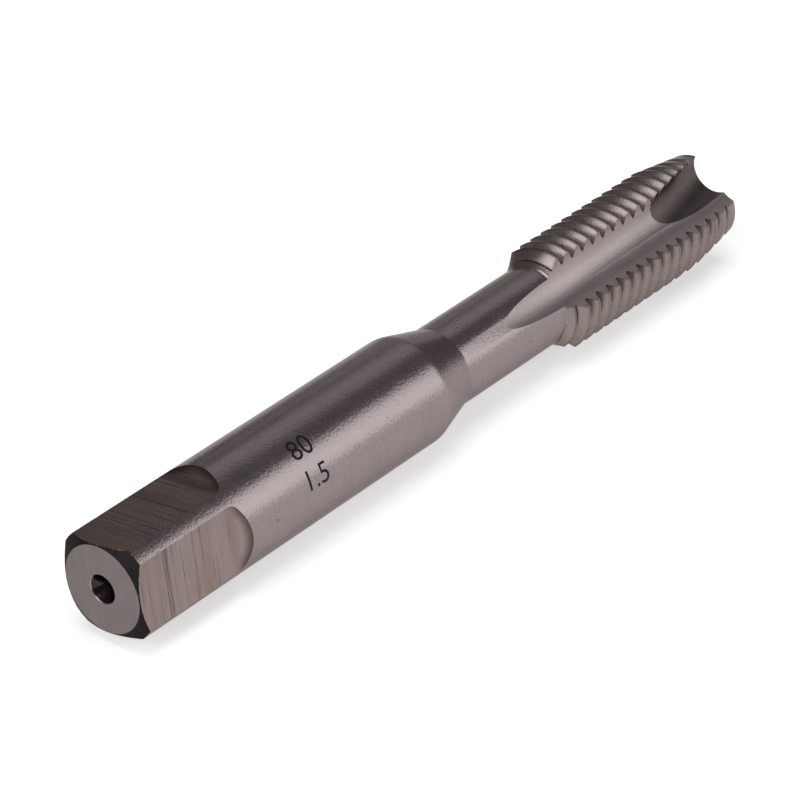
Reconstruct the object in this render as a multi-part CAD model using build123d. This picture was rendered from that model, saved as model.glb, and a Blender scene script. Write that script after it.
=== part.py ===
from build123d import *
import os
from math import acos, ceil, cos, degrees, radians, sin, sqrt, tan

# A spiral point machine tap for M10 x 1.5 threads, ground from one bar of tool steel.
# It is modelled standing on its drive end, with +Z from the drive end to the cutting end,
# and is then laid down along +X, with the shank resting on the ground plane.
# Sizes are in mm and angles in degrees. Angles round the axis start at the middle of one
# flat of the drive square and turn about +Z by the right-hand rule.

# Lengths along the axis; together they make the overall length.
shank_length = 37.4
shoulder_length = 4.4
neck_length = 13.5
thread_length = 24.7

# Turned diameters.
shank_d = 10.0
neck_d = 7.5
thread_d = 10.06
thread_root_d = 8.24
point_d = 8.54

# Turned edges.
end_chamfer_length = 0.63
end_face_d = 7.8
shoulder_radius = 3.0
neck_fillet = 0.6
thread_back_length = 1.3
lead_length = 5.8

# Drive square.
square_width = 8.0
square_length = 11.4
square_runout = 0.9

# Centre holes, left from grinding between centres.
drive_centre_d = 2.6
drive_pilot_d = 1.1
drive_pilot_depth = 2.6
point_centre_d = 1.5
point_pilot_d = 0.7
point_pilot_depth = 1.4
centre_angle = 60.0
drill_point_angle = 118.0

# Thread groove.
pitch = 1.5
thread_angle = 60.0
crest_flat = 0.19
groove_lead_in = 0.67
groove_over = 0.1
groove_gap = 12.0

# Flutes, ground with a wheel whose rim is a half round.
flute_count = 3
core_d = 6.3
flute_radius = 3.2
flute_angle = -34.7
flute_on_neck = 7.6
flute_wheel_radius = 68.0

# Spiral point: a round channel ground at a slant into the front of each flute.
point_cut_radius = 2.24
point_cut_height = 3.78
point_cut_side = 1.45
point_cut_dip = 10.1
point_cut_skew = 6.4
point_cut_length = 22.0

# Roll of the tool about its own axis as it lies.
lying_roll = 8.0

# Spare length by which a cutting form stands clear of the metal that it cuts.
clear = 2.0

# Places along the axis that follow from the lengths.
neck_start = shank_length + shoulder_length
thread_start = neck_start + neck_length
overall_length = thread_start + thread_length
lead_start = overall_length - lead_length


def turned_blank():
    """The bar after turning: chamfered shank, tapered shoulder, neck, thread blank and lead."""
    with BuildPart() as blank:
        with BuildSketch(Plane.XZ) as section:
            with BuildLine():
                Polyline(
                    (0, 0),
                    (end_face_d / 2, 0),
                    (shank_d / 2, end_chamfer_length),
                    (shank_d / 2, shank_length),
                    (neck_d / 2, neck_start),
                    (neck_d / 2, thread_start),
                    (thread_d / 2, thread_start + thread_back_length),
                    (thread_d / 2, lead_start),
                    (point_d / 2, overall_length),
                    (0, overall_length),
                    close=True,
                )
            make_face()
            corners = section.vertices()
            fillet([v for v in corners if abs(v.Y - shank_length) < 1e-6], shoulder_radius)
            corners = section.vertices()
            fillet([v for v in corners if abs(v.Y - neck_start) < 1e-6], neck_fillet)
            corners = section.vertices()
            fillet([v for v in corners if abs(v.Y - thread_start) < 1e-6], neck_fillet)
        revolve(axis=Axis.Z)
    return blank.part


def drive_flat(angle):
    """What is milled away to leave one flat of the drive square, with its sloping run-out."""
    depth = (shank_d - square_width) / 2
    run = square_runout / depth
    outline = Polyline(
        (square_width / 2, -clear),
        (square_width / 2, square_length),
        (shank_d / 2 + clear, square_length + (depth + clear) * run),
        (shank_d / 2 + clear, -clear),
        close=True,
    )
    face = make_face(Plane.XZ * outline)
    return Rot(0, 0, angle) * extrude(face, amount=shank_d, both=True)


def centre_hole(mouth_d, pilot_d, pilot_depth):
    """A centre hole that opens downwards at the origin: cone, pilot and drill point."""
    cone_slope = tan(radians(centre_angle / 2))
    cone_depth = (mouth_d - pilot_d) / 2 / cone_slope
    tip_depth = pilot_depth + pilot_d / 2 / tan(radians(drill_point_angle / 2))
    outline = Polyline(
        (0, -clear),
        (mouth_d / 2 + clear * cone_slope, -clear),
        (pilot_d / 2, cone_depth),
        (pilot_d / 2, pilot_depth),
        (0, tip_depth),
        close=True,
    )
    return revolve(make_face(Plane.XZ * outline), axis=Axis.Z)


def thread_groove():
    """The helical V between the threads, as one stretch across each land for each turn."""
    root_r = thread_root_d / 2
    top_r = thread_d / 2 + groove_over
    half_angle = tan(radians(thread_angle / 2))
    root_half = (pitch - crest_flat) / 2 - (thread_d / 2 - root_r) * half_angle
    top_half = (pitch - crest_flat) / 2 + groove_over * half_angle
    outline = Polyline(
        (root_r, -root_half),
        (top_r, -top_half),
        (top_r, top_half),
        (root_r, root_half),
        close=True,
    )
    land_step = 360 / flute_count
    arc = land_step - groove_gap
    helix = Helix(pitch=pitch, height=pitch * arc / 360, radius=root_r)
    stretch = sweep(make_face(Plane.XZ * outline), path=helix, is_frenet=True)
    first_angle = flute_angle + groove_gap / 2
    first_z = thread_start - groove_lead_in + pitch * first_angle / 360
    count = flute_count * ceil((thread_length + groove_lead_in + pitch) / pitch)
    return [
        Pos(0, 0, first_z + pitch * number / flute_count)
        * Rot(0, 0, first_angle + land_step * number)
        * stretch
        for number in range(count)
    ]


def flute(angle):
    """One straight chip flute, run out into the neck along the grinding wheel's curve."""
    centre = core_d / 2 + flute_radius
    depth = (neck_d - core_d) / 2
    full_depth_z = thread_start - flute_on_neck + sqrt(2 * flute_wheel_radius * depth - depth**2)
    section = Pos(centre, 0, full_depth_z) * Circle(flute_radius)
    straight = extrude(section, amount=overall_length - full_depth_z + clear)
    wheel_axis = Axis((core_d / 2 + flute_wheel_radius, 0, full_depth_z), (0, -1, 0))
    rise = thread_d / 2 - core_d / 2 + clear
    turn = degrees(acos(1 - rise / flute_wheel_radius))
    runout = revolve(section, axis=wheel_axis, revolution_arc=turn)
    return Rot(0, 0, angle) * (straight + runout)


def point_cut(angle):
    """The slanted round channel of the spiral point, cut into one flute at the front."""
    channel = Cylinder(
        point_cut_radius,
        point_cut_length,
        align=(Align.CENTER, Align.CENTER, Align.MAX),
    )
    channel = Pos(0, 0, clear) * channel
    tilted = Rot(point_cut_skew, -point_cut_dip, 0) * channel
    place = Pos(point_cut_height, -point_cut_side, overall_length)
    return Rot(0, 0, angle) * place * tilted


def thread_tap():
    """The whole tap, standing on its drive end."""
    tap = turned_blank()
    for quarter in range(4):
        tap -= drive_flat(90 * quarter)
    tap -= centre_hole(drive_centre_d, drive_pilot_d, drive_pilot_depth)
    point_hole = centre_hole(point_centre_d, point_pilot_d, point_pilot_depth)
    tap -= Pos(0, 0, overall_length) * Rot(180, 0, 0) * point_hole
    for number in range(flute_count):
        angle = flute_angle + number * 360 / flute_count
        tap -= flute(angle)
        tap -= point_cut(angle)
    tap -= thread_groove()
    return tap


tap = thread_tap()
lying = Plane(
    origin=(-overall_length / 2, 0, shank_d / 2),
    x_dir=(0, -cos(radians(lying_roll)), sin(radians(lying_roll))),
    z_dir=(1, 0, 0),
)
tap = lying * tap

os.makedirs("parts", exist_ok=True)
export_step(tap, "parts/tap.step")
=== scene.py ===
from math import acos, cos, pi, radians, sin, sqrt, tan

import bmesh
import bpy
from bpy.props import FloatProperty, FloatVectorProperty, IntProperty, PointerProperty, StringProperty
from mathutils import Matrix, Vector


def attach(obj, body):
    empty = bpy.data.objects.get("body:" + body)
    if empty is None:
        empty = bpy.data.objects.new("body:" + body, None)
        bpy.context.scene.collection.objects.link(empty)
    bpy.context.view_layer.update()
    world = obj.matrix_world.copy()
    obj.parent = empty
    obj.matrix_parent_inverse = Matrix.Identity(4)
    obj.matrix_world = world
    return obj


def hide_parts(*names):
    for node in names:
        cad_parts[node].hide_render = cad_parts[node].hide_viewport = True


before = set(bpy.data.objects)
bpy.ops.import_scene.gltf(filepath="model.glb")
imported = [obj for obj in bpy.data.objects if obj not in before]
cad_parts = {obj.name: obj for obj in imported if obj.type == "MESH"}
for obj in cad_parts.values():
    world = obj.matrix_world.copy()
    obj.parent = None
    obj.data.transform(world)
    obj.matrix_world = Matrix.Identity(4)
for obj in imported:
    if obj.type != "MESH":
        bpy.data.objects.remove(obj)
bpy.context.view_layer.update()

bl_info = {
    "name": "Spiral Point Thread Tap",
    "version": (1, 0, 0),
    "blender": (4, 5, 0),
    "location": "3D View > Sidebar > Thread Tap",
    "description": "Builds a ground steel thread tap with its finishes, size mark and studio",
    "category": "Add Mesh",
}

MM = 0.001
BODY = "root"
NODE = "tap"
NUMBER, VECTOR = "NodeSocketFloat", "NodeSocketVector"

# Height of a capital or a figure over the size of the font.
FIGURE_HEIGHT = 0.73
# Bands that a line of the mark is cut into, so that it follows the round shank.
MARK_BANDS = 12
# Turns of the thread's groove over those on the thread, to run out clear at both ends.
SPARE_TURNS = 3


# ---------------------------------------------------------------- sizes and colours


def length(name, description, millimetres):
    """A size that a user may change, kept in metres."""
    return FloatProperty(
        name=name, description=description, default=millimetres * MM, unit="LENGTH", precision=5
    )


def angle(name, description, degrees_):
    """An angle that a user may change."""
    return FloatProperty(name=name, description=description, default=radians(degrees_), subtype="ANGLE")


def colour(name, description, value):
    """A colour that a user may change, in linear light."""
    return FloatVectorProperty(
        name=name, description=description, default=value, size=3, subtype="COLOR", min=0, max=1
    )


class TapSizes(bpy.types.PropertyGroup):
    """Sizes of the tap, along the axis from its drive end."""

    shank_length: length("Shank length", "Drive end to the shoulder", 37.4)
    shoulder_length: length("Shoulder length", "Taper from the shank to the neck", 4.4)
    neck_length: length("Neck length", "Plain neck behind the thread", 13.5)
    thread_length: length("Thread length", "Threaded end, with its lead", 24.7)
    shank_d: length("Shank diameter", "Diameter of the shank", 10.0)
    neck_d: length("Neck diameter", "Diameter of the neck", 7.5)
    thread_d: length("Thread diameter", "Diameter over the thread crests", 10.06)
    thread_root_d: length("Root diameter", "Diameter at the bottom of the thread", 8.24)
    point_d: length("Point diameter", "Diameter of the lead at its front", 8.54)
    end_chamfer_length: length("End chamfer", "Length of the chamfer of the drive end", 0.63)
    end_face_d: length("End face diameter", "Diameter of the flat drive end", 7.8)
    shoulder_radius: length("Shoulder radius", "Rounding where the shank starts to taper", 3.0)
    neck_fillet: length("Neck fillet", "Fillet at both ends of the neck", 0.6)
    thread_back_length: length("Thread back", "Length of the cone behind the thread", 1.3)
    lead_length: length("Lead length", "Length of the taper lead", 5.8)
    square_width: length("Square width", "Drive square over its flats", 8.0)
    square_length: length("Square length", "Length of the drive square", 11.4)
    square_runout: length("Square run-out", "Slope at the end of each flat", 0.9)
    drive_centre_d: length("Drive centre", "Mouth of the centre hole in the drive end", 2.6)
    drive_pilot_d: length("Drive pilot", "Pilot of the centre hole in the drive end", 1.1)
    drive_pilot_depth: length("Drive pilot depth", "Depth of that pilot", 2.6)
    point_centre_d: length("Point centre", "Mouth of the centre hole in the front end", 1.5)
    point_pilot_d: length("Point pilot", "Pilot of the centre hole in the front end", 0.7)
    point_pilot_depth: length("Point pilot depth", "Depth of that pilot", 1.4)
    square_fillet: length("Square fillet", "Radius where each flat turns up into its run-out", 1.0)
    centre_rim: length("Centre rim", "Worn edge round each centre hole", 0.025)
    pitch: length("Pitch", "Pitch of the thread", 1.5)
    crest_flat: length("Crest flat", "Width of the flat on each crest", 0.19)
    groove_lead_in: length("Groove lead-in", "How far behind the thread its groove starts", 0.67)
    core_d: length("Core diameter", "Diameter left between the flutes", 6.3)
    flute_radius: length("Flute radius", "Radius of each flute's section", 3.2)
    flute_on_neck: length("Flute on neck", "Length of a flute's run-out on the neck", 7.6)
    flute_wheel_radius: length("Wheel radius", "Radius of the wheel that cuts the flutes", 68.0)
    point_cut_radius: length("Point cut radius", "Radius of the spiral point's channel", 2.24)
    point_cut_height: length("Point cut height", "Channel's height over the axis at the front", 3.78)
    point_cut_side: length("Point cut side", "Channel's shift across the flute at the front", 1.45)
    point_cut_length: length("Point cut length", "Length of the channel's cutter", 22.0)
    thread_angle: angle("Thread angle", "Angle between the thread's flanks", 60)
    centre_angle: angle("Centre angle", "Angle of the centre holes' cones", 60)
    drill_angle: angle("Drill angle", "Angle of the drill point in the centre holes", 118)
    flute_angle: angle("Flute angle", "Turn of the flutes from the flats", -34.7)
    point_cut_dip: angle("Point cut dip", "Slope of the channel towards the axis", 10.1)
    point_cut_skew: angle("Point cut skew", "Slant of the channel across the flute", 6.4)
    lying_roll: angle("Roll", "Roll of the tool as it lies", 8)
    flats: IntProperty(name="Flats", description="Flats of the drive square", default=4, min=2)
    flutes: IntProperty(name="Flutes", description="Flutes round the axis", default=3, min=2)

    @property
    def neck_start(self):
        return self.shank_length + self.shoulder_length

    @property
    def thread_start(self):
        return self.neck_start + self.neck_length

    @property
    def overall_length(self):
        return self.thread_start + self.thread_length


class TapFinish(bpy.types.PropertyGroup):
    """Colours of the tap's ground, milled and marked surfaces."""

    shank: colour("Shank", "Colour of the ground shank and neck", (0.258, 0.211, 0.211))
    flat: colour("Flats", "Colour of the milled flats", (0.250, 0.198, 0.190))
    flat_warm: colour("Flats, warm", "Second tone of the milled flats", (0.225, 0.173, 0.152))
    end: colour("Ends", "Colour of the end faces", (0.182, 0.155, 0.150))
    flute: colour("Flutes", "Colour of the ground flutes", (0.340, 0.285, 0.282))
    # Painted shade: the spiral point's channels get a much darker colour than the other ground steel, for
    # the shade inside them.
    point: colour("Spiral point", "Colour of the spiral point's channels", (0.105, 0.083, 0.081))
    thread: colour("Thread", "Colour of the thread", (0.252, 0.206, 0.195))
    # Painted shade: the steel inside the centre holes is made nearly black to darken the recess.
    bore_shade: colour("Centre holes", "Colour inside the centre holes", (0.040, 0.033, 0.032))
    chamfer: colour("Chamfer", "Colour of the unground chamfer", (0.020, 0.017, 0.017))
    rim: colour("Rims", "Colour of worn edges", (0.330, 0.290, 0.280))
    mark: colour("Size mark", "Colour of the dark size mark", (0.010, 0.007, 0.007))


class SizeMark(bpy.types.PropertyGroup):
    """Plain size numbers on the shank."""

    top_line: StringProperty(name="First line", description="Overall length in mm", default="80")
    low_line: StringProperty(name="Second line", description="Pitch in mm", default="1.5")
    height: length("Height", "Height of the numbers", 1.85)
    start: length("Start", "Where the first line starts, from the drive end", 19.2)
    low_start: length("Second start", "Where the second line starts, from the drive end", 19.0)
    depth: length("Depth", "How deep the mark goes into the steel", 0.02)
    proud: length("Proud", "How far the mark stands over the steel", 0.004)
    turn: angle("Turn", "Angle of the first line round the shank", 45)
    line_turn: angle("Line turn", "Angle between the lines", 32)


# ---------------------------------------------------------------- node helpers


def put(tree, kind, inputs=None, **settings):
    """Add a node, set it up, and link or set its inputs, which are named or numbered."""
    item = tree.nodes.new(kind)
    for name, value in settings.items():
        setattr(item, name, value)
    for key, value in (inputs or {}).items():
        if isinstance(value, bpy.types.Node):
            value = value.outputs[0]
        if isinstance(value, bpy.types.NodeSocket):
            tree.links.new(value, item.inputs[key])
        else:
            item.inputs[key].default_value = value
    return item


def new_tree(name, kind, inputs, outputs):
    """A node group with its named inputs and outputs: (tree, input node, output node)."""
    tree = bpy.data.node_groups.new(name, kind)
    for title, socket_type, value in inputs:
        socket = tree.interface.new_socket(title, in_out="INPUT", socket_type=socket_type)
        if value is not None:
            socket.default_value = value
    for title, socket_type in outputs:
        tree.interface.new_socket(title, in_out="OUTPUT", socket_type=socket_type)
    return tree, tree.nodes.new("NodeGroupInput"), tree.nodes.new("NodeGroupOutput")


def maths(tree, operation, *values):
    """A Math node's result."""
    return put(tree, "ShaderNodeMath", dict(enumerate(values)), operation=operation).outputs[0]


# ---------------------------------------------------------------- finishes


def shader_group(name, inputs, outputs):
    """A new shader node group with its input and output nodes, or an old one with neither."""
    old = bpy.data.node_groups.get(name)
    if old:
        return old, None, None
    return new_tree(name, "ShaderNodeTree", inputs, outputs)


def stretched_noise(tree, position, scale, detail, roughness):
    """Noise that is drawn out along the directions in which its scale is small."""
    at = put(tree, "ShaderNodeVectorMath", {0: position, 1: scale}, operation="MULTIPLY")
    return put(
        tree,
        "ShaderNodeTexNoise",
        {"Vector": at, "Scale": 1.0, "Detail": detail, "Roughness": roughness},
    ).outputs[0]


def ground_grain_group():
    """Fine parallel lines left by grinding, with a fine speckle and slow stains."""
    tree, given, result = shader_group(
        "Ground grain",
        [
            ("Position", VECTOR, None),
            ("Line Scale", VECTOR, (1000.0, 1000.0, 1000.0)),
            ("Speckle Scale", NUMBER, 4500.0),
            ("Stain Scale", NUMBER, 450.0),
            ("Lines", NUMBER, 0.5),
            ("Speckle", NUMBER, 0.5),
            ("Stains", NUMBER, 0.5),
        ],
        [("Tone", NUMBER), ("Height", NUMBER)],
    )
    if not given:
        return tree
    g = given.outputs
    lines = stretched_noise(tree, g["Position"], g["Line Scale"], 4.0, 0.65)
    speckle = put(
        tree,
        "ShaderNodeTexNoise",
        {"Vector": g["Position"], "Scale": g["Speckle Scale"], "Detail": 1.0, "Roughness": 0.5},
    )
    stains = put(
        tree, "ShaderNodeTexNoise", {"Vector": g["Position"], "Scale": g["Stain Scale"], "Detail": 3.0}
    )
    parts = []
    for texture, share in ((lines, "Lines"), (speckle.outputs[0], "Speckle"), (stains.outputs[0], "Stains")):
        centred = maths(tree, "SUBTRACT", texture, 0.5)
        parts.append(maths(tree, "MULTIPLY", centred, g[share]))
    fine = maths(tree, "ADD", parts[0], parts[1])
    tree.links.new(maths(tree, "ADD", fine, parts[2]), result.inputs["Tone"])
    height = maths(tree, "MULTIPLY_ADD", parts[0], 0.3, parts[1])
    tree.links.new(height, result.inputs["Height"])
    return tree


def milling_group():
    """Streaks across a milled flat: broad bands of two tones, and thin dark lines."""
    tree, given, result = shader_group(
        "Milling streaks",
        [
            ("Position", VECTOR, None),
            ("Band Scale", VECTOR, (700.0, 40.0, 40.0)),
            ("Line Scale", VECTOR, (3600.0, 60.0, 60.0)),
            ("Line Width", NUMBER, 0.44),
        ],
        [("Band", NUMBER), ("Line", NUMBER)],
    )
    if not given:
        return tree
    g = given.outputs
    band = stretched_noise(tree, g["Position"], g["Band Scale"], 2.0, 0.5)
    wide = put(tree, "ShaderNodeMapRange", {"Value": band, "From Min": 0.38, "From Max": 0.62})
    line = stretched_noise(tree, g["Position"], g["Line Scale"], 3.0, 0.7)
    low = maths(tree, "SUBTRACT", g["Line Width"], 0.09)
    thin = put(
        tree,
        "ShaderNodeMapRange",
        {"Value": line, "From Min": g["Line Width"], "From Max": low, "To Min": 0.0, "To Max": 1.0},
    )
    tree.links.new(wide.outputs[0], result.inputs["Band"])
    tree.links.new(thin.outputs[0], result.inputs["Line"])
    return tree


def pits_group():
    """A mask of a few small round pits."""
    tree, given, result = shader_group(
        "Pits",
        [
            ("Position", VECTOR, None),
            ("Scale", NUMBER, 600.0),
            ("Size", NUMBER, 0.05),
            ("Share", NUMBER, 0.2),
        ],
        [("Mask", NUMBER)],
    )
    if not given:
        return tree
    g = given.outputs
    cells = put(tree, "ShaderNodeTexVoronoi", {"Vector": g["Position"], "Scale": g["Scale"]})
    near = maths(tree, "LESS_THAN", cells.outputs["Distance"], g["Size"])
    lot = put(tree, "ShaderNodeSeparateColor", {"Color": cells.outputs["Color"]})
    chosen = maths(tree, "LESS_THAN", lot.outputs[0], g["Share"])
    tree.links.new(maths(tree, "MULTIPLY", near, chosen), result.inputs["Mask"])
    return tree


def edge_group():
    """A mask that is 1 on sharp edges and 0 away from them."""
    tree, given, result = shader_group(
        "Edge",
        [("Radius", NUMBER, 0.0001), ("Limit", NUMBER, 0.85)],
        [("Mask", NUMBER)],
    )
    if not given:
        return tree
    rounded = put(tree, "ShaderNodeBevel", {"Radius": given.outputs["Radius"]}, samples=4)
    plain = put(tree, "ShaderNodeNewGeometry")
    match = put(
        tree, "ShaderNodeVectorMath", {0: rounded, 1: plain.outputs["Normal"]}, operation="DOT_PRODUCT"
    )
    mask = put(
        tree,
        "ShaderNodeMapRange",
        {"Value": match.outputs["Value"], "From Min": 0.997, "From Max": given.outputs["Limit"]},
    )
    tree.links.new(mask.outputs[0], result.inputs["Mask"])
    return tree


def group_node(tree, group, **values):
    """Place a node group and set or link its named inputs."""
    inputs = {name.replace("_", " "): value for name, value in values.items()}
    node = put(tree, "ShaderNodeGroup", node_tree=group)
    for name, value in inputs.items():
        if isinstance(value, bpy.types.NodeSocket):
            tree.links.new(value, node.inputs[name])
        else:
            node.inputs[name].default_value = value
    return node.outputs


def blend(tree, share, one, two):
    """A colour between two, by a share from 0 to 1. Sockets 6 and 7 are the node's colours."""
    colours = [value if isinstance(value, bpy.types.NodeSocket) else (*value, 1.0) for value in (one, two)]
    mixed = put(tree, "ShaderNodeMix", {0: share, 6: colours[0], 7: colours[1]}, data_type="RGBA")
    return mixed.outputs[2]


def steel(name, base, lines, speckle=0.5, stains=0.35, tone=0.6, roughness=0.27, bump=0.034, paint=None):
    """A ground steel with a grain along its own lines. Paint changes its colour before the grain."""
    material = bpy.data.materials.new(name)
    material.use_nodes = True
    tree = material.node_tree
    surface = tree.nodes["Principled BSDF"]
    surface.inputs["Metallic"].default_value = 1.0
    surface.inputs["Specular Tint"].default_value = (0.62, 0.59, 0.59, 1.0)
    place = put(tree, "ShaderNodeTexCoord").outputs["Object"]
    grain = group_node(
        tree,
        ground_grain_group(),
        Position=place,
        Line_Scale=lines,
        Speckle=speckle,
        Stains=stains,
    )
    pits = group_node(tree, pits_group(), Position=place)["Mask"]
    colour = paint(tree, place) if paint else tuple(base)
    shade = maths(tree, "MULTIPLY_ADD", grain["Tone"], tone, 1.0)
    shade = maths(tree, "MULTIPLY", shade, maths(tree, "MULTIPLY_ADD", pits, -0.7, 1.0))
    painted = put(tree, "ShaderNodeVectorMath", {0: colour, 1: shade}, operation="MULTIPLY")
    tree.links.new(painted.outputs[0], surface.inputs["Base Color"])
    tree.links.new(maths(tree, "MULTIPLY_ADD", grain["Tone"], 0.15, roughness), surface.inputs["Roughness"])
    relief = put(
        tree, "ShaderNodeBump", {"Strength": 1.0, "Distance": bump * MM, "Height": grain["Height"]}
    )
    tree.links.new(relief.outputs[0], surface.inputs["Normal"])
    return material


def milled_paint(colours, sizes):
    """Paints the flats: two tones in bands, thin dark lines, and painted shade at the end of the run-out."""

    def paint(tree, place):
        streaks = group_node(tree, milling_group(), Position=place)
        banded = blend(tree, streaks["Band"], colours.flat, colours.flat_warm)
        lined = blend(tree, maths(tree, "MULTIPLY", streaks["Line"], 0.6), banded, colours.mark)
        shank = sizes.shank_d / 2
        across = put(tree, "ShaderNodeVectorMath", {0: place, 1: (0, 0, shank)}, operation="SUBTRACT")
        across = put(
            tree, "ShaderNodeVectorMath", {0: across.outputs[0], 1: (0, 1, 1)}, operation="MULTIPLY"
        )
        radius = put(tree, "ShaderNodeVectorMath", {0: across.outputs[0]}, operation="LENGTH")
        shallow = put(
            tree,
            "ShaderNodeMapRange",
            {
                "Value": radius.outputs["Value"],
                "From Min": shank - 0.6 * MM,
                "From Max": shank - 0.1 * MM,
            },
        )
        along = put(tree, "ShaderNodeSeparateXYZ", {0: place}).outputs["X"]
        start = sizes.square_length - sizes.overall_length / 2
        beyond = put(
            tree,
            "ShaderNodeMapRange",
            {"Value": along, "From Min": start - 0.3 * MM, "From Max": start + 0.2 * MM},
        )
        # Painted shade on the upper part of each flat's sloping run-out, near the round shank.
        run_out = maths(tree, "MULTIPLY", shallow.outputs[0], beyond.outputs[0])
        runout_shade = maths(tree, "MULTIPLY", run_out, 0.65)
        return blend(tree, runout_shade, lined, colours.mark)

    return paint


def thread_shade_paint(colours, sizes):
    """Paints the thread: painted shade along its sharp edges, but not at the ground tip."""

    def paint(tree, place):
        edge = group_node(tree, edge_group(), Radius=0.35 * MM)["Mask"]
        along = put(tree, "ShaderNodeSeparateXYZ", {0: place}).outputs["X"]
        tip = sizes.overall_length / 2
        fading = {"From Min": tip - 4 * MM, "From Max": tip - 1.5 * MM, "To Min": 0.6, "To Max": 0.1}
        share = put(tree, "ShaderNodeMapRange", {"Value": along, **fading}).outputs[0]
        # Painted shade: the dark chamfer colour is blended in near the thread's edges.
        return blend(tree, maths(tree, "MULTIPLY", edge, share), colours.thread, colours.chamfer)

    return paint


def worn_paint(colours):
    """Paints the unground chamfer: dark, with bright specks along its edges."""

    def paint(tree, place):
        edge = group_node(tree, edge_group(), Radius=0.12 * MM)["Mask"]
        specks = put(tree, "ShaderNodeTexNoise", {"Vector": place, "Scale": 3500.0, "Detail": 2.0})
        broken = put(
            tree, "ShaderNodeMapRange", {"Value": specks.outputs[0], "From Min": 0.5, "From Max": 0.62}
        )
        return blend(tree, maths(tree, "MULTIPLY", edge, broken.outputs[0]), colours.chamfer, colours.rim)

    return paint


def finishes():
    """The tap's finishes, in the order of the numbers that its faces carry."""
    colours, sizes = bpy.context.scene.tap_finish, bpy.context.scene.tap_sizes
    milled = milled_paint(colours, sizes)
    shaded_thread = thread_shade_paint(colours, sizes)
    worn = worn_paint(colours)
    return [
        steel("Turned steel", colours.shank, (9000, 500, 500), tone=0.45),
        steel("Milled steel", colours.flat, (4500, 300, 300), speckle=0.15, bump=0.03, paint=milled),
        steel("End face steel", colours.end, (500, 5000, 250), speckle=0.15, stains=0.6, bump=0.03),
        # Painted shade: dark steel for the inside of the centre holes.
        steel("Shaded bore steel", colours.bore_shade, (5000, 800, 800), roughness=0.2, bump=0.01),
        steel("Flute steel", colours.flute, (250, 3000, 3000), tone=0.45, roughness=0.42, bump=0.03),
        # Painted shade: dark steel for the spiral point's channels.
        steel("Shaded point steel", colours.point, (400, 3000, 3000), speckle=0.3, roughness=0.4, bump=0.02),
        steel("Thread steel", colours.thread, (3000, 1500, 1500), speckle=0.15, paint=shaded_thread),
        steel("Chamfer steel", colours.chamfer, (2500, 900, 900), roughness=0.45, paint=worn),
        steel("Rim steel", colours.rim, (2000, 2000, 2000), bump=0.01),
    ]


TURNED, MILLED, END, BORE, FLUTE, POINT, THREAD, CHAMFER, RIM = range(9)


# ---------------------------------------------------------------- the tap's forms


def arc_corner(before, corner, after, radius, steps=10):
    """The points of a fillet of that radius between two straight runs."""
    one = (Vector(before) - Vector(corner)).normalized()
    two = (Vector(after) - Vector(corner)).normalized()
    half = acos(max(-1.0, min(1.0, one.dot(two)))) / 2
    middle = (one + two).normalized()
    centre = Vector(corner) + middle * (radius / sin(half))
    first = Vector(corner) + one * (radius / tan(half)) - centre
    last = Vector(corner) + two * (radius / tan(half)) - centre
    sweep = first.angle_signed(last)
    turned = (Matrix.Rotation(-sweep * number / steps, 2) @ first for number in range(steps + 1))
    return [tuple(centre + spoke) for spoke in turned]


def mesh_object(name, form, finish):
    """A temporary object from a bmesh, whose faces all carry one finish number."""
    bmesh.ops.recalc_face_normals(form, faces=form.faces)
    mesh = bpy.data.meshes.new(name)
    form.to_mesh(mesh)
    form.free()
    numbers = mesh.attributes.new("finish", "INT", "FACE")
    if isinstance(finish, int):
        numbers.data.foreach_set("value", [finish] * len(mesh.polygons))
    else:
        numbers.data.foreach_set("value", [finish(face) for face in mesh.polygons])
    made = bpy.data.objects.new(name, mesh)
    bpy.context.scene.collection.objects.link(made)
    return made


def revolved(outline, segments):
    """A closed solid turned about Z from (radius, height) points that start and end on the axis."""
    form = bmesh.new()
    bottom = form.verts.new((0, 0, outline[0][1]))
    top = form.verts.new((0, 0, outline[-1][1]))
    turns = [2 * pi * number / segments for number in range(segments)]
    rings = [
        [form.verts.new((radius * cos(turn), radius * sin(turn), height)) for turn in turns]
        for radius, height in outline[1:-1]
    ]
    for here in range(segments):
        after = (here + 1) % segments
        form.faces.new((bottom, rings[0][after], rings[0][here]))
        form.faces.new((top, rings[-1][here], rings[-1][after]))
        for low, high in zip(rings, rings[1:]):
            form.faces.new((low[here], low[after], high[after], high[here]))
    return form


def turned_blank(sizes, segments=288):
    """The bar after turning: chamfered shank, shoulder, neck, thread blank and lead."""
    s = sizes
    shank, neck = s.shank_d / 2, s.neck_d / 2
    shoulder = (shank, s.shank_length)
    throat = (neck, s.neck_start)
    heel = (neck, s.thread_start)
    back = (s.thread_d / 2, s.thread_start + s.thread_back_length)
    chamfer = (shank, s.end_chamfer_length)
    outline = [(0, 0), (s.end_face_d / 2, 0), chamfer]
    outline += arc_corner(chamfer, shoulder, throat, s.shoulder_radius)
    outline += arc_corner(shoulder, throat, heel, s.neck_fillet)
    outline += arc_corner(throat, heel, back, s.neck_fillet)
    outline += [back, (s.thread_d / 2, s.overall_length - s.lead_length)]
    outline += [(s.point_d / 2, s.overall_length), (0, s.overall_length)]

    def finish(face):
        if abs(face.normal.z) > 0.999:
            return END
        if face.center.z < s.end_chamfer_length:
            return CHAMFER
        return THREAD if face.center.z > s.thread_start else TURNED

    return mesh_object("blank", revolved(outline, segments), finish)


def swept(sections):
    """A closed solid from rings of points, joined one after the other and capped."""
    form = bmesh.new()
    rings = [[form.verts.new(point) for point in section] for section in sections]
    count = len(rings[0])
    for low, high in zip(rings, rings[1:]):
        for here in range(count):
            after = (here + 1) % count
            form.faces.new((low[here], low[after], high[after], high[here]))
    form.faces.new(rings[0][::-1])
    form.faces.new(rings[-1])
    return form


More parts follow.
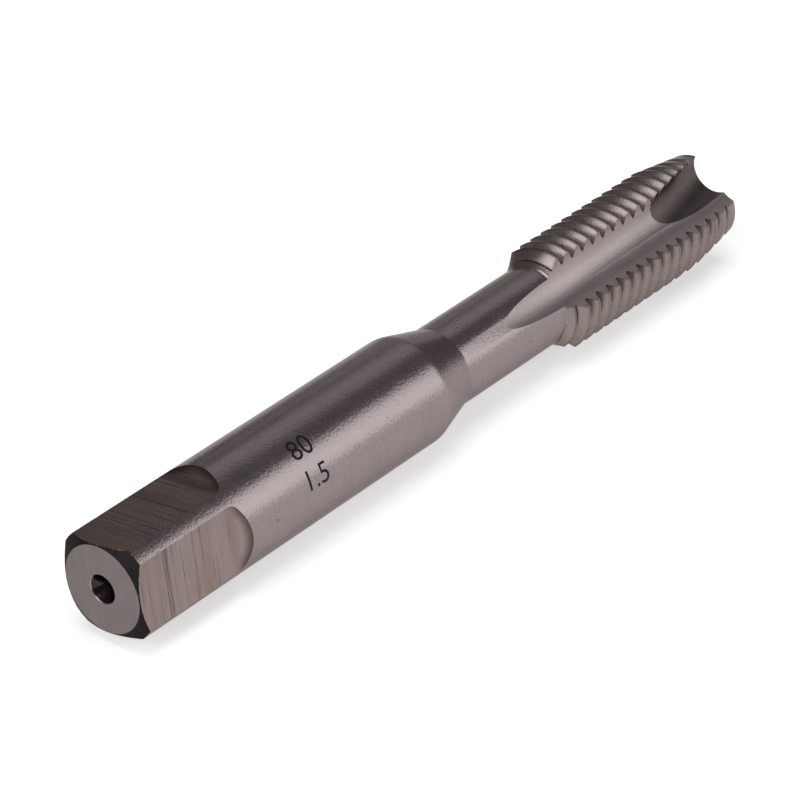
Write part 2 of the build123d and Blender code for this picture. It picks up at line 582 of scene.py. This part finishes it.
def drive_flat(sizes, clear):
    """What is milled away to leave one flat of the square, with its sloping run-out."""
    depth = (sizes.shank_d - sizes.square_width) / 2
    run = sizes.square_runout / depth
    far = sizes.shank_d / 2 + clear
    start = (sizes.square_width / 2, -clear)
    corner = (sizes.square_width / 2, sizes.square_length)
    end = (far, sizes.square_length + (depth + clear) * run)
    outline = [start, (far, -clear), end, *arc_corner(end, corner, start, sizes.square_fillet)]
    sections = [[(x, side * sizes.shank_d, z) for x, z in outline] for side in (1, -1)]
    return mesh_object("flat cutter", swept(sections), MILLED)


def centre_hole(sizes, mouth_d, pilot_d, pilot_depth, clear, segments=96):
    """A centre hole that opens downwards at the origin: worn rim, cone, pilot and drill point."""
    slope = tan(sizes.centre_angle / 2)
    rim_depth = sizes.centre_rim / (1 - slope)
    outline = [
        (0, -clear),
        (mouth_d / 2 + sizes.centre_rim + clear, -clear),
        (mouth_d / 2 - rim_depth * slope, rim_depth),
        (pilot_d / 2, (mouth_d - pilot_d) / 2 / slope),
        (pilot_d / 2, pilot_depth),
        (0, pilot_depth + pilot_d / 2 / tan(sizes.drill_angle / 2)),
    ]
    return revolved(outline, segments)


def centre_holes(sizes, clear):
    """Both centre holes in one cutter."""
    form = centre_hole(sizes, sizes.drive_centre_d, sizes.drive_pilot_d, sizes.drive_pilot_depth, clear)
    front = centre_hole(sizes, sizes.point_centre_d, sizes.point_pilot_d, sizes.point_pilot_depth, clear)
    turn = Matrix.Translation((0, 0, sizes.overall_length)) @ Matrix.Rotation(pi, 4, "X")
    bmesh.ops.transform(front, matrix=turn, verts=front.verts)
    held = bpy.data.meshes.new("front centre")
    front.to_mesh(held)
    front.free()
    form.from_mesh(held)
    bpy.data.meshes.remove(held)
    rim = sin(pi / 4) * 0.99

    def finish(face):
        return RIM if rim < abs(face.normal.z) < 0.75 else BORE

    return mesh_object("centre hole cutter", form, finish)


def circle(radius, segments):
    """Points round a circle in the XY plane."""
    return [
        Vector((radius * cos(2 * pi * number / segments), radius * sin(2 * pi * number / segments), 0))
        for number in range(segments)
    ]


def flute(sizes, clear, segments=160, steps=40):
    """A wheel's half round path: up the neck along the wheel's curve, then straight out."""
    centre = sizes.core_d / 2 + sizes.flute_radius
    depth = (sizes.neck_d - sizes.core_d) / 2
    wheel = sizes.flute_wheel_radius
    full_z = sizes.thread_start - sizes.flute_on_neck + sqrt(2 * wheel * depth - depth**2)
    rise = sizes.thread_d / 2 - sizes.core_d / 2 + clear
    turn = acos(1 - rise / wheel)
    hub = Vector((sizes.core_d / 2 + wheel, 0, full_z))
    section = circle(sizes.flute_radius, segments)
    sections = []
    for number in range(steps, -1, -1):
        lean = Matrix.Rotation(-turn * number / steps, 4, "Y")
        sections.append([hub + lean @ (point + Vector((centre, 0, full_z)) - hub) for point in section])
    end_z = sizes.overall_length + clear
    sections.append([point + Vector((centre, 0, end_z)) for point in section])
    form = swept(sections)
    bmesh.ops.rotate(form, matrix=Matrix.Rotation(sizes.flute_angle, 3, "Z"), verts=form.verts)
    return mesh_object("flute cutter", form, FLUTE)


def point_cut(sizes, clear, segments=128):
    """The slanted round channel of the spiral point, in front of one flute."""
    low, high = clear - sizes.point_cut_length, clear
    section = circle(sizes.point_cut_radius, segments)
    form = swept([[point + Vector((0, 0, height)) for point in section] for height in (low, high)])
    place = (
        Matrix.Rotation(sizes.flute_angle, 4, "Z")
        @ Matrix.Translation((sizes.point_cut_height, -sizes.point_cut_side, sizes.overall_length))
        @ Matrix.Rotation(sizes.point_cut_skew, 4, "X")
        @ Matrix.Rotation(-sizes.point_cut_dip, 4, "Y")
    )
    bmesh.ops.transform(form, matrix=place, verts=form.verts)
    return mesh_object("point cutter", form, POINT)


def tap_form_tree():
    """Cuts the repeated flats, flutes and points and the helical thread out of a turned blank."""
    whole, thing = "NodeSocketInt", "NodeSocketObject"
    tree, given, result = new_tree(
        "Tap form",
        "GeometryNodeTree",
        [
            ("Blank", "NodeSocketGeometry", None),
            ("Flat Cutter", thing, None),
            ("Flats", whole, 4),
            ("Flute Cutter", thing, None),
            ("Point Cutter", thing, None),
            ("Flutes", whole, 3),
            ("Centre Cutter", thing, None),
            ("Pitch", NUMBER, 0.0015),
            ("Turns", NUMBER, 20.0),
            ("Thread Start", NUMBER, 0.053),
            ("Root Radius", NUMBER, 0.00412),
            ("Groove Depth", NUMBER, 0.001),
            ("Root Half Width", NUMBER, 0.00013),
            ("Top Half Width", NUMBER, 0.0007),
            ("Sharp Angle", NUMBER, 0.5),
        ],
        [("Tap", "NodeSocketGeometry")],
    )
    g = given.outputs

    def cutter(name):
        return put(tree, "GeometryNodeObjectInfo", {"Object": g[name]}).outputs["Geometry"]

    def round_axis(shape, count):
        """Copies of a cutter, spaced evenly round the axis."""
        points = put(tree, "GeometryNodePoints", {"Count": count})
        step = maths(tree, "DIVIDE", 2 * pi, count)
        turn = maths(tree, "MULTIPLY", put(tree, "GeometryNodeInputIndex").outputs[0], step)
        spin = put(tree, "ShaderNodeCombineXYZ", {"Z": turn})
        copies = put(
            tree,
            "GeometryNodeInstanceOnPoints",
            {"Points": points, "Instance": shape, "Rotation": spin},
        )
        return put(tree, "GeometryNodeRealizeInstances", {0: copies}).outputs[0]

    rise = maths(tree, "MULTIPLY", g["Pitch"], g["Turns"])
    helix = put(
        tree,
        "GeometryNodeCurveSpiral",
        {
            "Resolution": 180,
            "Rotations": g["Turns"],
            "Start Radius": g["Root Radius"],
            "End Radius": g["Root Radius"],
            "Height": rise,
            "Reverse": True,
        },
    )
    upright = put(tree, "GeometryNodeSetCurveNormal", {"Curve": helix}, mode="Z_UP")
    corners = []
    for depth, half, side in (
        (0.0, "Root Half Width", -1.0),
        (g["Groove Depth"], "Top Half Width", -1.0),
        (g["Groove Depth"], "Top Half Width", 1.0),
        (0.0, "Root Half Width", 1.0),
    ):
        across = maths(tree, "MULTIPLY", g[half], side)
        corners.append(put(tree, "ShaderNodeCombineXYZ", {"X": depth, "Y": across}))
    section = put(
        tree,
        "GeometryNodeCurvePrimitiveQuadrilateral",
        {f"Point {place + 1}": corner for place, corner in enumerate(corners)},
        mode="POINTS",
    )
    groove = put(
        tree,
        "GeometryNodeCurveToMesh",
        {"Curve": upright, "Profile Curve": section, "Fill Caps": True},
    )
    lifted = put(
        tree,
        "GeometryNodeTransform",
        {"Geometry": groove, "Translation": put(tree, "ShaderNodeCombineXYZ", {"Z": g["Thread Start"]})},
    )
    marked = put(
        tree,
        "GeometryNodeStoreNamedAttribute",
        {"Geometry": lifted, "Name": "finish", "Value": THREAD},
        data_type="INT",
        domain="FACE",
    )
    tap = g["Blank"]
    cutters = (
        round_axis(cutter("Flat Cutter"), g["Flats"]),
        cutter("Centre Cutter"),
        round_axis(cutter("Flute Cutter"), g["Flutes"]),
        round_axis(cutter("Point Cutter"), g["Flutes"]),
        marked.outputs[0],
    )
    for shape in cutters:
        cut = put(
            tree,
            "GeometryNodeMeshBoolean",
            {"Mesh 1": tap, "Mesh 2": shape},
            operation="DIFFERENCE",
            solver="MANIFOLD",
        )
        tap = cut.outputs["Mesh"]
    smooth = put(tree, "GeometryNodeSetShadeSmooth", {"Geometry": tap}, domain="FACE")
    bend = put(tree, "GeometryNodeInputMeshEdgeAngle")
    sharp = put(
        tree,
        "FunctionNodeCompare",
        {"A": bend.outputs["Unsigned Angle"], "B": g["Sharp Angle"]},
        data_type="FLOAT",
        operation="GREATER_THAN",
    )
    creased = put(
        tree,
        "GeometryNodeSetShadeSmooth",
        {"Geometry": smooth, "Selection": sharp, "Shade Smooth": False},
        domain="EDGE",
    )
    done = put(tree, "GeometryNodeRealizeInstances", {0: creased}).outputs[0]
    finish = put(tree, "GeometryNodeInputNamedAttribute", {"Name": "finish"}, data_type="INT")
    for place, material in enumerate(finishes()):
        same = put(
            tree,
            "FunctionNodeCompare",
            {2: finish.outputs["Attribute"], 3: place},
            data_type="INT",
            operation="EQUAL",
        )
        done = put(
            tree,
            "GeometryNodeSetMaterial",
            {"Geometry": done, "Selection": same, "Material": material},
        ).outputs[0]
    tree.links.new(done, result.inputs["Tap"])
    return tree


def set_inputs(modifier, values):
    """Sets a Geometry Nodes modifier's inputs by the identifiers of their sockets."""
    sockets = {
        item.name: item.identifier
        for item in modifier.node_group.interface.items_tree
        if item.item_type == "SOCKET" and item.in_out == "INPUT"
    }
    for name, value in values.items():
        modifier[sockets[name]] = value


def lying(sizes):
    """From the tap standing on its drive end to the tap lying along X on its shank."""
    roll = sizes.lying_roll
    across = Vector((0, -cos(roll), sin(roll)))
    along = Vector((1, 0, 0))
    turn = Matrix((across, along.cross(across), along)).transposed().to_4x4()
    return Matrix.Translation((-sizes.overall_length / 2, 0, sizes.shank_d / 2)) @ turn


def into_frame(obj, name):
    """Makes the evaluated object a plain mesh piece with that name, and drops the original."""
    graph = bpy.context.evaluated_depsgraph_get()
    mesh = bpy.data.meshes.new_from_object(obj.evaluated_get(graph))
    mesh.name = name
    for number in reversed(range(len(mesh.materials))):
        if mesh.materials[number] is None:
            mesh.materials.pop(index=number)
    piece = bpy.data.objects.new(name, mesh)
    bpy.context.scene.collection.objects.link(piece)
    bpy.data.objects.remove(obj)
    return piece


class TAP_OT_body(bpy.types.Operator):
    """Grind the tap out of a turned bar: flats, centre holes, flutes, spiral point and thread"""

    bl_idname = "tap.body"
    bl_label = "Tap Body"

    def execute(self, context):
        sizes = context.scene.tap_sizes
        clear = 2 * MM
        over = 0.1 * MM
        half_slope = tan(sizes.thread_angle / 2)
        tooth = sizes.thread_d / 2 - sizes.thread_root_d / 2
        open_half = (sizes.pitch - sizes.crest_flat) / 2
        turns = int((sizes.thread_length + sizes.groove_lead_in) / sizes.pitch) + SPARE_TURNS
        blank = turned_blank(sizes)
        cutters = {
            "Flat Cutter": drive_flat(sizes, clear),
            "Centre Cutter": centre_holes(sizes, clear),
            "Flute Cutter": flute(sizes, clear),
            "Point Cutter": point_cut(sizes, clear),
        }
        modifier = blank.modifiers.new("Tap form", "NODES")
        modifier.node_group = tap_form_tree()
        set_inputs(
            modifier,
            {
                **cutters,
                "Flats": sizes.flats,
                "Flutes": sizes.flutes,
                "Pitch": sizes.pitch,
                "Turns": float(turns),
                "Thread Start": sizes.thread_start - sizes.groove_lead_in - sizes.pitch,
                "Root Radius": sizes.thread_root_d / 2,
                "Groove Depth": tooth + over,
                "Root Half Width": open_half - tooth * half_slope,
                "Top Half Width": open_half + over * half_slope,
                "Sharp Angle": radians(20),
            },
        )
        piece = into_frame(blank, "tap_steel")
        for shape in cutters.values():
            bpy.data.objects.remove(shape)
        piece.data.transform(lying(sizes))
        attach(piece, BODY)
        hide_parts(NODE)
        return {"FINISHED"}


def sliced(mesh, step):
    """The same mesh cut across into thin bands, so that it can follow a curved face."""
    form = bmesh.new()
    form.from_mesh(mesh)
    bmesh.ops.remove_doubles(form, verts=form.verts, dist=step / 1000)
    heights = [vertex.co.y for vertex in form.verts]
    for number in range(1, int((max(heights) - min(heights)) / step) + 1):
        parts = form.verts[:] + form.edges[:] + form.faces[:]
        level = min(heights) + number * step
        bmesh.ops.bisect_plane(form, geom=parts, plane_co=(0, level, 0), plane_no=(0, 1, 0))
    form.to_mesh(mesh)
    form.free()
    return mesh


class TAP_OT_size_mark(bpy.types.Operator):
    """Mark the shank with two plain size numbers"""

    bl_idname = "tap.size_mark"
    bl_label = "Size Mark"

    def execute(self, context):
        sizes, mark = context.scene.tap_sizes, context.scene.tap_mark
        radius = sizes.shank_d / 2
        form = bmesh.new()
        for words, start, turn in (
            (mark.top_line, mark.start, mark.turn),
            (mark.low_line, mark.low_start, mark.turn - mark.line_turn),
        ):
            curve = bpy.data.curves.new("numbers", "FONT")
            curve.body = words
            curve.size = mark.height / FIGURE_HEIGHT
            curve.extrude = (mark.depth + mark.proud) / 2
            text = bpy.data.objects.new("numbers", curve)
            context.scene.collection.objects.link(text)
            graph = context.evaluated_depsgraph_get()
            mesh = bpy.data.meshes.new_from_object(text.evaluated_get(graph))
            bpy.data.objects.remove(text)
            mesh = sliced(mesh, mark.height / MARK_BANDS)
            for vertex in mesh.vertices:
                along, up, out = vertex.co
                height = radius + out - (mark.depth - mark.proud) / 2
                at = turn + up / radius
                place = start + along - sizes.overall_length / 2
                vertex.co = (place, -height * cos(at), radius + height * sin(at))
            form.from_mesh(mesh)
            bpy.data.meshes.remove(mesh)
        bmesh.ops.remove_doubles(form, verts=form.verts, dist=1e-7)
        bmesh.ops.recalc_face_normals(form, faces=form.faces)
        mesh = bpy.data.meshes.new("size_mark")
        form.to_mesh(mesh)
        form.free()
        mesh.materials.append(mark_material())
        piece = bpy.data.objects.new("size_mark", mesh)
        context.scene.collection.objects.link(piece)
        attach(piece, BODY)
        return {"FINISHED"}


def mark_material():
    """Dark laser-marked steel, broken up a little by the grain under it."""
    material = bpy.data.materials.new("Marked steel")
    material.use_nodes = True
    tree = material.node_tree
    surface = tree.nodes["Principled BSDF"]
    surface.inputs["Specular IOR Level"].default_value = 0.15
    place = put(tree, "ShaderNodeTexCoord")
    patches = put(tree, "ShaderNodeTexNoise", {"Vector": place.outputs["Object"], "Scale": 4000.0})
    dark = tuple(bpy.context.scene.tap_finish.mark)
    shade = maths(tree, "MULTIPLY_ADD", patches.outputs[0], 1.2, 0.4)
    painted = put(tree, "ShaderNodeVectorMath", {0: dark, 1: shade}, operation="MULTIPLY")
    tree.links.new(painted.outputs[0], surface.inputs["Base Color"])
    tree.links.new(maths(tree, "MULTIPLY_ADD", patches.outputs[0], 0.2, 0.45), surface.inputs["Roughness"])
    return material


# ---------------------------------------------------------------- stage


LAMP_COLOUR = (0.96, 1.0, 1.01)
LAMP_DISTANCE = 2.0
LAMP_AIM = (0, 0, 0.005)
WORLD_COLOUR = (0.175, 0.17, 0.166, 1)
FLOOR_COLOUR = (0.82, 0.82, 0.82, 1)
FLOOR_GLOW = 0.5
FLOOR_RADIUS = 2.5


def area_light(name, heading, height, size, strength):
    """A softbox at that heading and height, in degrees, turned to the tap."""
    data = bpy.data.lights.new(name, "AREA")
    data.shape = "RECTANGLE"
    data.size, data.size_y = size
    data.color = LAMP_COLOUR
    data.energy = strength * pi * size[0] * size[1]
    light = bpy.data.objects.new(name, data)
    bpy.context.scene.collection.objects.link(light)
    out = Vector(
        (
            cos(radians(heading)) * cos(radians(height)),
            sin(radians(heading)) * cos(radians(height)),
            sin(radians(height)),
        )
    )
    light.location = Vector(LAMP_AIM) + out * LAMP_DISTANCE
    light.rotation_euler = out.to_track_quat("Z", "Y").to_euler()
    return light


def floor_material():
    """A pale matt floor that camera, glossy and transmission rays see as white, with its shadow."""
    material = bpy.data.materials.new("Pale floor")
    material.use_nodes = True
    tree = material.node_tree
    surface = tree.nodes["Principled BSDF"]
    surface.inputs["Base Color"].default_value = FLOOR_COLOUR
    surface.inputs["Roughness"].default_value = 1.0
    surface.inputs["Specular IOR Level"].default_value = 0.0
    ray = put(tree, "ShaderNodeLightPath")
    seen = maths(tree, "MAXIMUM", ray.outputs["Is Camera Ray"], ray.outputs["Is Glossy Ray"])
    seen = maths(tree, "MAXIMUM", seen, ray.outputs["Is Transmission Ray"])
    strength = maths(tree, "MULTIPLY", seen, FLOOR_GLOW)
    glow = put(tree, "ShaderNodeEmission", {"Color": (1, 1, 1, 1), "Strength": strength})
    both = put(tree, "ShaderNodeAddShader", {0: surface, 1: glow})
    tree.links.new(both.outputs[0], tree.nodes["Material Output"].inputs["Surface"])
    return material


class TAP_OT_stage(bpy.types.Operator):
    """Set up the pale floor, the soft lights and the camera"""

    bl_idname = "tap.stage"
    bl_label = "Studio"

    def execute(self, context):
        scene = context.scene
        scene.view_settings.view_transform = "Standard"
        form = bmesh.new()
        bmesh.ops.create_circle(form, cap_ends=True, segments=96, radius=FLOOR_RADIUS)
        mesh = bpy.data.meshes.new("floor")
        form.to_mesh(mesh)
        form.free()
        mesh.materials.append(floor_material())
        floor = bpy.data.objects.new("floor", mesh)
        scene.collection.objects.link(floor)
        area_light("key", -52, 24.5, (1.35, 1.16), 2.0)
        area_light("low key", -43, 4.5, (2.6, 0.34), 0.97)
        area_light("back", 28, 42, (1.0, 0.64), 0.5)
        area_light("low back", 36, 13, (1.0, 0.75), 0.42)
        area_light("front", 178, 30, (1.6, 1.5), 2.45)
        area_light("top", 180, 85, (1.2, 1.2), 3.0)
        world = bpy.data.worlds.new("studio")
        world.use_nodes = True
        world.node_tree.nodes["Background"].inputs["Color"].default_value = WORLD_COLOUR
        scene.world = world
        data = bpy.data.cameras.new("camera")
        data.sensor_width = 36
        data.lens = 175.5
        data.clip_start, data.clip_end = 0.01, 20
        camera = bpy.data.objects.new("camera", data)
        scene.collection.objects.link(camera)
        heading, fall, distance = radians(50.98), radians(32.32), 0.3304
        aim = Vector((-0.0020, 0.00092, 0.00344))
        forward = Vector((sin(heading) * cos(fall), cos(heading) * cos(fall), -sin(fall)))
        camera.location = aim - forward * distance
        camera.rotation_euler = forward.to_track_quat("-Z", "Y").to_euler()
        scene.camera = camera
        return {"FINISHED"}


# ---------------------------------------------------------------- add-on


class TAP_PT_panel(bpy.types.Panel):
    """Lists the steps that build the tap"""

    bl_idname = "TAP_PT_panel"
    bl_label = "Thread Tap"
    bl_space_type = "VIEW_3D"
    bl_region_type = "UI"
    bl_category = "Thread Tap"

    def draw(self, context):
        for step in (TAP_OT_body, TAP_OT_size_mark, TAP_OT_stage):
            self.layout.operator(step.bl_idname)


CLASSES = (TapSizes, TapFinish, SizeMark, TAP_OT_body, TAP_OT_size_mark, TAP_OT_stage, TAP_PT_panel)
SETTINGS = {"tap_sizes": TapSizes, "tap_finish": TapFinish, "tap_mark": SizeMark}


def register():
    for item in CLASSES:
        bpy.utils.register_class(item)
    for name, group in SETTINGS.items():
        setattr(bpy.types.Scene, name, PointerProperty(type=group))


def unregister():
    for name in SETTINGS:
        delattr(bpy.types.Scene, name)
    for item in reversed(CLASSES):
        bpy.utils.unregister_class(item)


def main():
    register()
    bpy.ops.tap.stage()
    bpy.ops.tap.body()
    bpy.ops.tap.size_mark()


if __name__ == "__main__":
    main()
